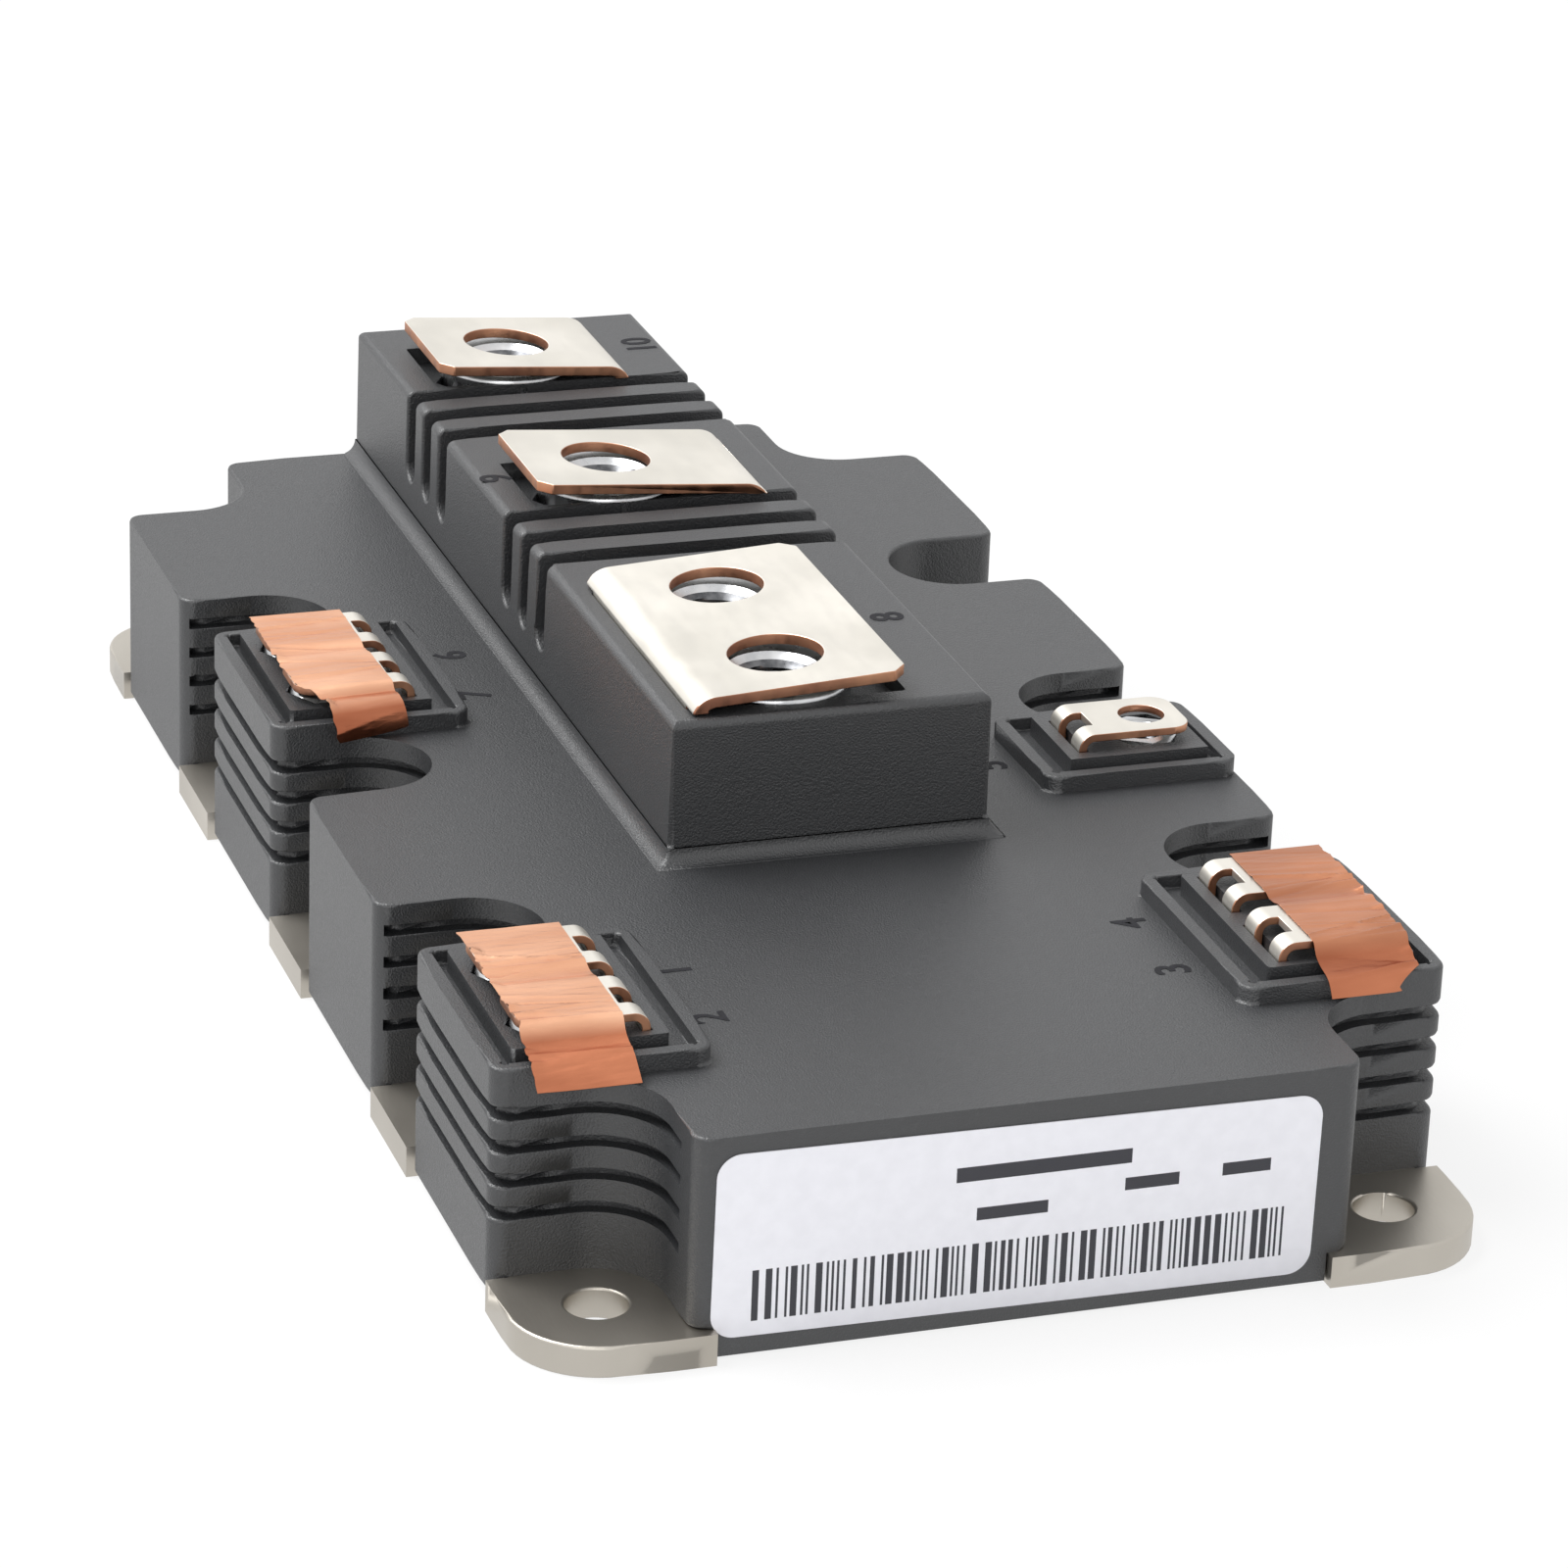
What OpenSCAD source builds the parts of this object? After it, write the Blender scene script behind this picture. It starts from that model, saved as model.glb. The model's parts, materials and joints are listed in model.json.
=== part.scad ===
// Half-bridge power module: copper base plate, ribbed moulded case with a high ridge,
// three bent power terminals, seven auxiliary tabs and the power stage sealed inside.
// Millimetres. Origin at the bottom centre of the base plate, length along Y, up is +Z.
// The label end is at -Y and the direct-current terminals are at +Y.

/* [Base plate] */
// Length of the base plate
plate_l = 172; // [171.6:0.1:174]
// Width of the base plate
plate_w = 89; // [88.8:0.1:92]
// Thickness of the base plate
plate_t = 3; // [2.8:0.1:4]
// Radius of its four corners
plate_r = 8; // [4:0.5:9]
// Diameter of the ten fixing holes
fix_d = 5.5; // [4.5:0.1:6.4]
// Distance between the two rows of fixing holes
fix_row = 73; // [72:0.5:74]
// Pitch of the fixing holes along a row
fix_pitch = 39; // [38.5:0.5:39.5]

/* [Case] */
// Width of the moulded case
case_w = 88.2; // [87.4:0.1:88.6]
// Length of the moulded case
case_l = 170; // [168:0.5:171]
// Width of its two end walls
end_w = 60.6; // [59:0.2:61]
// Height of the deck above the bottom of the base plate
deck_z = 21; // [20:0.2:22]
// Thickness of the deck
deck_t = 2.5; // [2:0.1:3]
// Thickness of the outer walls
wall = 3; // [2.6:0.1:3.4]
// Width of the notches over the fixing holes
notch_w = 13; // [12:0.2:13.4]
// Height of the lower edge of the side walls
skirt_z = 1.4; // [0.8:0.1:2]
// Thickness of the skirts that cover the edge of the base plate
skirt_t = 1.6; // [1.2:0.1:1.8]
// Clearance between parts that fit together
fit = 0.15; // [0.1:0.05:0.2]

/* [Creepage grooves] */
// Number of grooves in a wall
groove_n = 4; // [1:1:5]
// Pitch of the grooves
groove_pitch = 3.15; // [3:0.05:3.3]
// Height of the uppermost groove
groove_top = 18.4; // [17.6:0.1:18.6]
// Width of a groove
groove_w = 1.1; // [0.8:0.1:1.3]
// Depth of a groove
groove_d = 1.2; // [0.8:0.1:1.3]

/* [Ridge] */
// Width of the ridge at its top
ridge_w = 31; // [30:0.2:31.6]
// Height of its top above the bottom of the base plate
ridge_z = 35; // [34.6:0.1:35.4]
// Place of its front face along Y
ridge_y = -29.6; // [-30.6:0.2:-29.4]
// Width of the cross slots
slot_w = 3.1; // [2.6:0.1:3.4]
// Pitch of the cross slots
slot_pitch = 6.1; // [5.8:0.1:6.4]
// Height of the rounded bottom of the cross slots
slot_z = 25.6; // [25:0.2:28]

/* [Power terminals] */
// Height of the top faces of the power terminals
power_z = 38; // [37.6:0.1:38.4]
// Thickness of their copper
power_t = 1.5; // [1.2:0.1:1.6]
// Diameter of their holes
power_d = 9; // [8.4:0.1:9.4]
// Width of a terminal with one hole
power_w = 16.8; // [16:0.2:17.2]
// Place of the holes across the module
power_x = -2.8; // [-3.2:0.1:-2.4]
// Places of the holes along Y, from the alternating-current end
power_y = [-20.5, -2.5, 34.5, 71.5];

/* [Auxiliary terminals] */
// Height of the top faces of the auxiliary tabs
aux_z = 25; // [24.8:0.1:25.4]
// Thickness of the tabs
aux_t = 0.8; // [0.6:0.1:0.9]
// Width of the tabs
aux_w = 8; // [7:0.2:8.6]
// Pitch of two tabs in one block
aux_pitch = 11; // [10:0.2:11.4]
// Distance of the tab holes from the centre line
aux_x = 36.9; // [36.4:0.1:37.2]
// Diameter of the tab holes
aux_d = 4.5; // [4.2:0.1:4.8]
// Width of the rim around a block
rim_w = 1.2; // [1:0.1:1.4]
// Height of the top of the rim
rim_z = 22.7; // [22.4:0.1:23]
// Height of the top of the pedestal under the tabs
pedestal_z = 23.3; // [23:0.1:23.5]

/* [Label] */
// Width of the label
label_w = 55; // [40:1:56]
// Height of the label
label_h = 17.3; // [12:0.1:17.5]

/* [Hidden] */
$fn = 48;
eps = 0.01;

// Fixing holes and the notches and corner cut-outs over them
fix_y = [for (i = [-2 : 2]) i * fix_pitch];
notch_r = notch_w / 2;
notch_x = end_w / 2 + notch_r;
// Side walls between the notches, as their middles along Y
seg_y = [for (i = [-1.5 : 1 : 1.5]) i * fix_pitch];
seg_l = fix_pitch - notch_w;
corner_y = 2 * fix_pitch - notch_r;
end_skirt_w = 56;
end_skirt_z = 0.3;
edge_r = 1.6;

// Auxiliary blocks as [side, middle, length, y of the tabs]
pair_l = seg_l;
single_l = 16;
single_y = seg_y[1] + seg_l / 2 - single_l / 2;
aux_in = 24.4;
ped_in = 27.7;
ped_out = 41.8;
floor_z = deck_z + 0.4;
blocks = [[-1, seg_y[0], pair_l], [1, seg_y[0], pair_l], [-1, seg_y[2], pair_l], [1, single_y, single_l]];
// Tabs 1 to 7 as [side, y]
tabs = [[-1, seg_y[0] + aux_pitch / 2], [-1, seg_y[0] - aux_pitch / 2],
        [1, seg_y[0] - aux_pitch / 2], [1, seg_y[0] + aux_pitch / 2],
        [1, single_y],
        [-1, seg_y[2] + aux_pitch / 2], [-1, seg_y[2] - aux_pitch / 2]];
aux_tip = 3.9;
aux_bend_x = 29.1;
aux_bend_r = 1.6;
aux_boss_z = 12;
aux_clear = 8;
m4_af = 7;
m4_h = 3.2;
m4_r = 2;

// Power terminals: outer faces of the bends and the free ends
ac_bend_x = -13.3;
ac_free_x = 7.5;
ac_y = (power_y[0] + power_y[1]) / 2;
ac_w = power_y[1] - power_y[0] + power_w - 0.4;
dc_free_x = -12.1;
plus_bend_x = 11.8;
minus_bend_x = 8.4;
bend_r = 2.2;
neck_z = ridge_z + 0.2;
neck_cut = 2.2;
m8_af = 13;
m8_h = 8;
m8_r = 4;
collar_r = 6.6;
collar_h = 1.2;
collar_z = ridge_z + 0.3;
pocket_z = ridge_z - 1.8;
pocket_w = m8_af - 0.2;

// Ridge
slot_first = 8.7;
ridge_end = case_l / 2;
draft = 0.5;
foot_r = 1.6;
foot_lift = 0.3;
ridge_edge_r = 0.9;
cavity_x = 13.4;
cavity_z = 22;
well_h = ridge_z - m8_h - cavity_z;

// Foil strips: each ends in a flap as [length along Y, drop]
foil_t = 0.1;
foil_w = 8.6;
foil_x = aux_x + 0.4;
foil_over = 0.6;
rim_flap = [0.7 * aux_w, 0.7 * (aux_z - deck_z) - 0.7];
inner_flap = [0.45 * aux_w, 0.35 * (aux_z - deck_z)];

// Power stage: ceramic tiles in two rows
tile = [25, 42];
tile_x = 13.6;
tile_y = [-46, 0, 46];
tile_t = 1.2;
tile_z = plate_t + tile_t;
chip = 11;
chip_x = 19;
chip_y = 12.5;
diode = 8;
chip_t = 0.3;
wire_r = 2.5;
gel_z = [7.6, 11.6];

// ---------- shared outlines ----------

module round_rect(w, l, r) {
    union() {
        square([w - 2 * r, l], center = true);
        square([w, l - 2 * r], center = true);
        for (x = [-1, 1])
            for (y = [-1, 1])
                translate([x * (w / 2 - r), y * (l / 2 - r)])
                    circle(r = r);
    }
}

// Plan of the case, with every wall moved inwards by the inset
module case_plan(inset) {
    union() {
        difference() {
            square([2 * notch_x, case_l - 2 * edge_r - 2 * inset], center = true);
            for (x = [-1, 1])
                for (y = fix_y)
                    translate([x * notch_x, y])
                        circle(r = notch_r + inset);
            // Corner cut-outs beyond the last holes
            for (x = [-1, 1])
                for (y = [-1, 1])
                    translate([x * notch_x, y * (2 * fix_pitch + case_l / 2)])
                        square([2 * (notch_r + inset), case_l], center = true);
        }
        round_rect(end_w - 2 * inset, case_l - 2 * inset, edge_r);
        for (x = [-1, 1])
            for (y = seg_y)
                translate([x * (case_w / 4 + 15 - inset / 2), y])
                    round_rect(case_w / 2 - 30 - inset, seg_l - 2 * inset, edge_r);
    }
}

module slab(z0, z1) {
    translate([0, 0, z0])
        linear_extrude(height = z1 - z0)
            children();
}

// ---------- base plate ----------

module plate_plan() {
    difference() {
        round_rect(plate_w, plate_l, plate_r);
        // The edges step back where the skirts of the case cover them
        for (x = [-1, 1])
            for (y = seg_y)
                translate([x * (case_w / 2 - skirt_t - fit + 5), y])
                    square([10, seg_l + 2 * fit], center = true);
        for (y = [-1, 1])
            translate([0, y * (case_l / 2 - skirt_t - fit + 5)])
                square([end_skirt_w + 2 * fit, 10], center = true);
    }
}

module base_plate() {
    color("#b9b5ad")
        difference() {
            slab(0, plate_t)
                plate_plan();
            for (x = [-1, 1])
                for (y = fix_y)
                    translate([x * fix_row / 2, y, -1])
                        cylinder(d = fix_d, h = plate_t + 2);
        }
}

// ---------- case ----------

// Parts of the plan whose walls carry grooves: both sides of the notches beside the
// auxiliary blocks, the blocks' outer faces and the cut-outs at the label end
module groove_zone() {
    lip = 0.8;
    in_x = 25;
    out_x = case_w / 2 + 1;
    module zone(side, x0, x1, y0, y1) {
        translate([side > 0 ? x0 : -x1, y0])
            square([x1 - x0, y1 - y0]);
    }
    for (side = [-1, 1]) {
        zone(side, in_x, end_w / 2 + 1, -case_l / 2 + 4, -corner_y - 0.5);
        zone(side, in_x, out_x, -corner_y - 4, seg_y[0] + seg_l / 2 + 2);
        zone(side, in_x, case_w / 2 - lip, fix_y[1], fix_y[1] + notch_r + 2);
        zone(side, in_x, case_w / 2 - lip, fix_y[2] - notch_r - 2, fix_y[2]);
        zone(side, in_x, case_w / 2 - lip, fix_y[2], fix_y[2] + notch_r + 2);
    }
    zone(-1, in_x, out_x, seg_y[2] - seg_l / 2 - 2, seg_y[2] + seg_l / 2 + 2);
    zone(-1, in_x, case_w / 2 - lip, fix_y[3], fix_y[3] + notch_r + 2);
}

module grooves() {
    for (i = [0 : groove_n - 1])
        slab(groove_top - i * groove_pitch - groove_w / 2, groove_top - i * groove_pitch + groove_w / 2)
            intersection() {
                difference() {
                    square([case_w + 10, case_l + 10], center = true);
                    case_plan(groove_d);
                }
                groove_zone();
            }
}

// The lower corner of each side wall away from the label end is cut off
module wall_corner_cuts() {
    cut_y = 1.2;
    cut_z = 1.8;
    for (x = [-1, 1])
        for (y = seg_y)
            translate([x * (case_w / 2 - 1), y + seg_l / 2, skirt_z])
                along_x(-4, 4)
                    polygon([[-cut_y, -1], [-cut_y, 0], [0, cut_z], [1, cut_z], [1, -1]]);
}

module skirts() {
    slab(skirt_z, plate_t + eps)
        intersection() {
            case_plan(0);
            for (x = [-1, 1])
                for (y = seg_y)
                    translate([x * (case_w / 2 - skirt_t / 2), y])
                        square([skirt_t, seg_l], center = true);
        }
    slab(end_skirt_z, plate_t + eps)
        for (y = [-1, 1])
            translate([0, y * (case_l / 2 - skirt_t / 2)])
                square([end_skirt_w, skirt_t], center = true);
}

// Cross-section of the ridge above the deck, with rounded top corners
module ridge_section(half, far) {
    polygon([[-far, 0], [-far, ridge_z - ridge_edge_r], [-far + ridge_edge_r, ridge_z],
             [half - ridge_edge_r, ridge_z], [half, ridge_z - ridge_edge_r], [half + draft, 0]]);
    translate([half - ridge_edge_r, ridge_z - ridge_edge_r])
        circle(r = ridge_edge_r);
    translate([-far + ridge_edge_r, ridge_z - ridge_edge_r])
        circle(r = ridge_edge_r);
}

// Section of the fillet at the foot of the ridge
module foot_section(half) {
    difference() {
        translate([0, deck_z])
            square([half + foot_r, foot_r]);
        translate([half + foot_r + foot_lift, deck_z + foot_r])
            circle(r = foot_r);
    }
}

module along_y(y0, y1) {
    translate([0, y1, 0])
        rotate([90, 0, 0])
            linear_extrude(height = y1 - y0)
                children();
}

module along_x(x0, x1) {
    translate([x0, 0, 0])
        rotate([90, 0, 90])
            linear_extrude(height = x1 - x0)
                children();
}

module ridge() {
    half = ridge_w / 2;
    mid = (ridge_end + ridge_y) / 2;
    len = ridge_end - ridge_y;
    intersection() {
        along_y(ridge_y - 1, ridge_end) {
            ridge_section(half, half);
            mirror([1, 0, 0])
                ridge_section(half, half);
        }
        along_x(-half - 3, half + 3)
            mirror([1, 0, 0])
                translate([-mid, 0])
                    ridge_section(len / 2, len / 2);
        slab(deck_z, ridge_z + 1)
            translate([0, mid])
                round_rect(ridge_w + 2 * draft, len + draft, 1.4);
    }
    // Fillet along both sides and across the front
    intersection() {
        along_y(ridge_y - 3, ridge_end)
            for (m = [0, 1])
                mirror([m, 0, 0])
                    foot_section(half);
        along_x(-half - 3, half + 3) {
            translate([ridge_y, 0])
                mirror([1, 0, 0])
                    foot_section(0);
            translate([ridge_y - eps, deck_z])
                square([len, foot_r]);
        }
    }
}

module cross_slots() {
    for (y = [power_y[2], power_y[3]])
        for (i = [0 : 2])
            along_x(-ridge_w, ridge_w)
                translate([y - slot_first - i * slot_pitch, 0]) {
                    translate([-slot_w / 2, slot_z + slot_w / 2])
                        square([slot_w, 20]);
                    translate([0, slot_z + slot_w / 2])
                        circle(d = slot_w);
                }
}

// Sockets of one power terminal: recess under the plate, nut socket and screw well
module nut_socket(x, y, z, af, r, depth, well) {
    translate([x, y, z - depth])
        cylinder(d = (af + 2 * fit) / cos(30), h = depth + 5, $fn = 6);
    translate([x, y, z - depth - well])
        cylinder(r = r + 0.4, h = well + 1);
}

module power_pockets() {
    slab(pocket_z, ridge_z + 1) {
        translate([ac_bend_x + power_t, power_y[0] - pocket_w / 2])
            square([ac_free_x + 0.5 - ac_bend_x - power_t, power_y[1] - power_y[0] + pocket_w]);
        for (y = [power_y[2], power_y[3]])
            translate([dc_free_x, y - pocket_w / 2])
                square([ac_free_x + 0.5 - dc_free_x, pocket_w]);
    }
    for (y = power_y)
        nut_socket(power_x, y, ridge_z, m8_af, m8_r, m8_h + 0.2, well_h);
}

// Slot for the leg of one power terminal, over the necked part of its width
module leg_slot(x, y, width) {
    translate([x, y])
        square([power_t + 2 * fit, width - 2 * neck_cut + 2 * fit], center = true);
}

module power_leg_slots() {
    slab(deck_z - deck_t - 1, ridge_z + 1) {
        leg_slot(ac_bend_x + power_t / 2, ac_y, ac_w);
        leg_slot(plus_bend_x - power_t / 2, power_y[2], power_w);
        leg_slot(minus_bend_x - power_t / 2, power_y[3], power_w);
    }
}

// Rim and pedestal of one auxiliary block
module aux_block(side, y, len) {
    rim_l = case_w / 2 - aux_in;
    mid_x = side * (case_w / 2 + aux_in) / 2;
    translate([mid_x, y]) {
        slab(deck_z - 1, floor_z)
            round_rect(rim_l, len, edge_r);
        slab(deck_z - 1, rim_z)
            difference() {
                round_rect(rim_l, len, edge_r);
                round_rect(rim_l - 2 * rim_w, len - 2 * rim_w, 0.5);
            }
    }
    slab(deck_z - 1, pedestal_z)
        translate([side * (ped_in + ped_out) / 2, y])
            square([ped_out - ped_in, len - 2 * rim_w - 2.6], center = true);
}

// Hollow under the ridge, open to the inside of the case
module ridge_cavity() {
    translate([0, (ridge_y + ridge_end) / 2, (cavity_z + aux_boss_z) / 2])
        cube([2 * cavity_x, ridge_end - ridge_y - 2 * wall, cavity_z - aux_boss_z], center = true);
}

// Boss under the deck that holds one nut and takes the end of its screw
module aux_boss(tab) {
    translate([tab[0] * aux_x, tab[1], (deck_z + aux_boss_z) / 2])
        cube([10, 9.6, deck_z - aux_boss_z - 1], center = true);
}

module aux_socket(tab) {
    nut_socket(tab[0] * aux_x, tab[1], pedestal_z, m4_af, m4_r, m4_h + 0.1, 6);
    translate([tab[0] * (aux_bend_x + aux_t / 2), tab[1], deck_z])
        cube([aux_t + 2 * fit, aux_w + 2 * fit, 12], center = true);
}

module housing() {
    color("#3a3b3e")
        difference() {
            union() {
                difference() {
                    slab(plate_t, deck_z)
                        case_plan(0);
                    slab(plate_t - 1, deck_z - deck_t)
                        case_plan(wall);
                }
                skirts();
                for (tab = tabs)
                    aux_boss(tab);
                for (b = blocks)
                    aux_block(b[0], b[1], b[2]);
            }
            ridge_cavity();
            wall_corner_cuts();
            grooves();
            power_leg_slots();
            for (tab = tabs)
                aux_socket(tab);
        }
}

// The ridge is moulded in one with the case and is a node of its own from the deck upwards
module terminal_ridge() {
    color("#3a3b3e")
        difference() {
            ridge();
            ridge_cavity();
            cross_slots();
            power_pockets();
            power_leg_slots();
        }
}

module label() {
    color("#f4f4fb")
        translate([-1, -case_l / 2, label_h / 2 + 1.7])
            rotate([90, 0.7, 0])
                linear_extrude(height = 0.12)
                    round_rect(label_w, label_h, 2.2);
}

// ---------- power terminals ----------

// Quarter of a ring, between the directions -X and +Y
module quarter_bend(r_out, thick) {
    intersection() {
        difference() {
            circle(r = r_out);
            circle(r = r_out - thick);
        }
        translate([-r_out, 0])
            square(r_out);
    }
}

// Side view of a bent strip: flat top along +X, leg down at x = 0 and a foot on a tile.
// A positive foot points along +X and a negative one along -X.
module bent_profile(top_z, len, thick, r_out, foot) {
    translate([r_out, top_z - thick])
        square([len - r_out, thick]);
    translate([0, tile_z + r_out])
        square([thick, top_z - tile_z - 2 * r_out]);
    translate([r_out, top_z - r_out])
        quarter_bend(r_out, thick);
    translate([foot > 0 ? 0 : thick, 0])
        mirror([foot > 0 ? 0 : 1, 0]) {
            translate([r_out, tile_z])
                square([abs(foot) - r_out, thick]);
            translate([r_out, tile_z + r_out])
                mirror([0, 1])
                    quarter_bend(r_out, thick);
        }
}

// Plan of a power terminal measured from its bend, with clipped free corners
module power_plan(len, width, clip) {
    polygon([[0, -width / 2], [len - clip, -width / 2], [len, -width / 2 + clip],
             [len, width / 2 - clip], [len - clip, width / 2], [0, width / 2]]);
}

// The leg is necked inside the ridge and parts into two feet on the tiles
module power_terminal(bend_x, free_x, y, width, holes, foot) {
    dir = free_x > bend_x ? 1 : -1;
    len = abs(free_x - bend_x);
    difference() {
        translate([bend_x, y, 0])
            mirror([dir > 0 ? 0 : 1, 0, 0])
                intersection() {
                    along_y(-width / 2, width / 2)
                        bent_profile(power_z, len, power_t, bend_r, foot);
                    slab(0, power_z + 1)
                        power_plan(len, width, 1.3);
                }
        for (hole = holes)
            translate([power_x, hole, power_z - power_t - 1])
                cylinder(d = power_d, h = power_t + 2);
        for (side = [-1, 1])
            translate([bend_x, y + side * width / 2, neck_z / 2])
                cube([60, 2 * neck_cut, neck_z], center = true);
        translate([bend_x, y, (deck_z - deck_t) / 3])
            cube([60, width / 3, 2 * (deck_z - deck_t) / 3], center = true);
    }
}

module ac_terminal() {
    color("#e6e4de")
        power_terminal(ac_bend_x, ac_free_x, ac_y, ac_w, [power_y[0], power_y[1]], 8);
}

module dc_plus_terminal() {
    color("#e6e4de")
        power_terminal(plus_bend_x, dc_free_x, power_y[2], power_w, [power_y[2]], 7);
}

module dc_minus_terminal() {
    color("#e6e4de")
        power_terminal(minus_bend_x, dc_free_x, power_y[3], power_w, [power_y[3]], 7);
}

module hex_nut(af, r, h) {
    difference() {
        cylinder(d = af / cos(30), h = h, $fn = 6);
        translate([0, 0, -1])
            cylinder(r = r, h = h + 4);
    }
}

module power_nuts() {
    color("#c9c8c4")
        for (y = power_y)
            translate([power_x, y, collar_z - m8_h]) {
                hex_nut(m8_af, m8_r, m8_h - collar_h);
                difference() {
                    translate([0, 0, m8_h - collar_h - eps])
                        cylinder(r = collar_r, h = collar_h + eps);
                    translate([0, 0, -1])
                        cylinder(r = m8_r, h = m8_h + 4);
                }
            }
}

// ---------- auxiliary terminals ----------

// Tab with a round-cornered tip, a hole over its nut and a square slot in the bend
module aux_terminal(tab) {
    len = aux_x + aux_tip - aux_bend_x;
    tip_r = 2;
    slot = 3.2;
    color("#e9e5da")
        mirror([tab[0] > 0 ? 0 : 1, 0, 0])
            translate([aux_bend_x, tab[1], 0])
                difference() {
                    intersection() {
                        along_y(-aux_w / 2, aux_w / 2)
                            bent_profile(aux_z, len, aux_t, aux_bend_r, -5.2);
                        slab(0, aux_z + 1)
                            translate([len / 2 - 6, 0])
                                round_rect(len + 12, aux_w, tip_r);
                    }
                    translate([aux_x - aux_bend_x, 0, aux_z - aux_t - 1])
                        cylinder(d = aux_d, h = aux_t + 2);
                    translate([-1, -slot / 2, pedestal_z - 1.2])
                        cube([1 + 2.2, slot, 5]);
                    // The leg narrows below the deck
                    for (y = [-1, 1])
                        translate([0, y * aux_w / 2, deck_z - deck_t - aux_clear])
                            cube([16, aux_w / 2, 2 * aux_clear], center = true);
                }
}

module aux_terminal_1() {
    aux_terminal(tabs[0]);
}

module aux_terminal_2() {
    aux_terminal(tabs[1]);
}

module aux_terminal_3() {
    aux_terminal(tabs[2]);
}

module aux_terminal_4() {
    aux_terminal(tabs[3]);
}

module aux_terminal_5() {
    aux_terminal(tabs[4]);
}

module aux_terminal_6() {
    aux_terminal(tabs[5]);
}

module aux_terminal_7() {
    aux_terminal(tabs[6]);
}

module aux_nuts() {
    color("#c9c8c4")
        for (tab = tabs)
            translate([tab[0] * aux_x, tab[1], pedestal_z - m4_h])
                hex_nut(m4_af, m4_r, m4_h);
}

// ---------- shorting strips ----------

// Side view of a foil strip along Y: flat over the tabs, then sloping down past the rim
module foil_strip(near_tab, far_tab, flap) {
    y0 = near_tab[1] - aux_w / 2;
    y1 = far_tab[1] + aux_w / 2 + foil_over;
    end_y = y0 - flap[0];
    end_z = aux_z - flap[1];
    color("#c9764a")
        translate([near_tab[0] * foil_x, 0, 0])
            along_x(-foil_w / 2, foil_w / 2)
                polygon([[y1, aux_z], [y1, aux_z + foil_t], [y0, aux_z + foil_t],
                         [end_y, end_z + foil_t], [end_y, end_z], [y0, aux_z]]);
}

module foil_strip_1_2() {
    foil_strip(tabs[1], tabs[0], rim_flap);
}

module foil_strip_3_4() {
    foil_strip(tabs[2], tabs[3], rim_flap);
}

module foil_strip_6_7() {
    foil_strip(tabs[6], tabs[5], inner_flap);
}

// ---------- power stage ----------

module each_tile() {
    for (x = [-1, 1])
        for (y = tile_y)
            translate([x * tile_x, y, plate_t])
                children();
}

module substrates() {
    color("#d8d2c4")
        each_tile()
            translate([0, 0, tile_t / 2])
                cube([tile[0], tile[1], tile_t], center = true);
}

// Chips sit on the outer part of the tiles, clear of the feet of the power terminals
module each_chip(places) {
    for (x = [-1, 1])
        for (y = tile_y)
            for (dy = places)
                translate([x * chip_x, y + dy, tile_z])
                    children();
}

module switch_chips() {
    color("#55585e")
        each_chip([-chip_y, chip_y])
            translate([0, 0, chip_t / 2])
                cube([chip, chip, chip_t], center = true);
}

module diode_chips() {
    color("#6d6f73")
        each_chip([0])
            translate([0, 0, chip_t / 2])
                cube([diode, diode, chip_t], center = true);
}

// Aluminium wires in half loops from each switch chip to the diode chip beside it
module bond_wires() {
    wire_t = 0.4;
    gap_y = (chip_y - chip / 2 + diode / 2) / 2;
    color("#d5d6d8")
        each_chip([-gap_y, gap_y])
            for (x = [-3 : 1.5 : 3])
                translate([x, 0, chip_t])
                    along_x(-wire_t / 2, wire_t / 2)
                        intersection() {
                            difference() {
                                circle(r = wire_r);
                                circle(r = wire_r - wire_t);
                            }
                            translate([-wire_r, 0])
                                square([2 * wire_r, wire_r]);
                        }
}

module temperature_sensor() {
    color("#8d6b3c")
        translate([tile_x - chip / 2, tile_y[2] + tile[1] / 2 - 3, tile_z + 0.5])
            cube([3.2, 1.6, 1], center = true);
}

// Soft gel over the chips, with ways through for the legs
module gel_fill() {
    color("#c9d3d8")
        difference() {
            slab(gel_z[0], gel_z[1])
                case_plan(wall);
            slab(gel_z[0] - 1, gel_z[1] + 1) {
                leg_slot(ac_bend_x + power_t / 2, ac_y, ac_w);
                leg_slot(plus_bend_x - power_t / 2, power_y[2], power_w);
                leg_slot(minus_bend_x - power_t / 2, power_y[3], power_w);
                for (tab = tabs)
                    translate([tab[0] * (aux_bend_x + aux_t / 2), tab[1]])
                        square([aux_t + 2 * fit, aux_w / 2 + 2 * fit], center = true);
            }
        }
}

base_plate();
housing();
terminal_ridge();
label();
ac_terminal();
dc_plus_terminal();
dc_minus_terminal();
power_nuts();
aux_terminal_1();
aux_terminal_2();
aux_terminal_3();
aux_terminal_4();
aux_terminal_5();
aux_terminal_6();
aux_terminal_7();
aux_nuts();
foil_strip_1_2();
foil_strip_3_4();
foil_strip_6_7();
substrates();
switch_chips();
diode_chips();
bond_wires();
temperature_sensor();
gel_fill();
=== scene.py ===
import json
import math
import random

import bmesh
import bpy
from mathutils import Matrix, Vector


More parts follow.
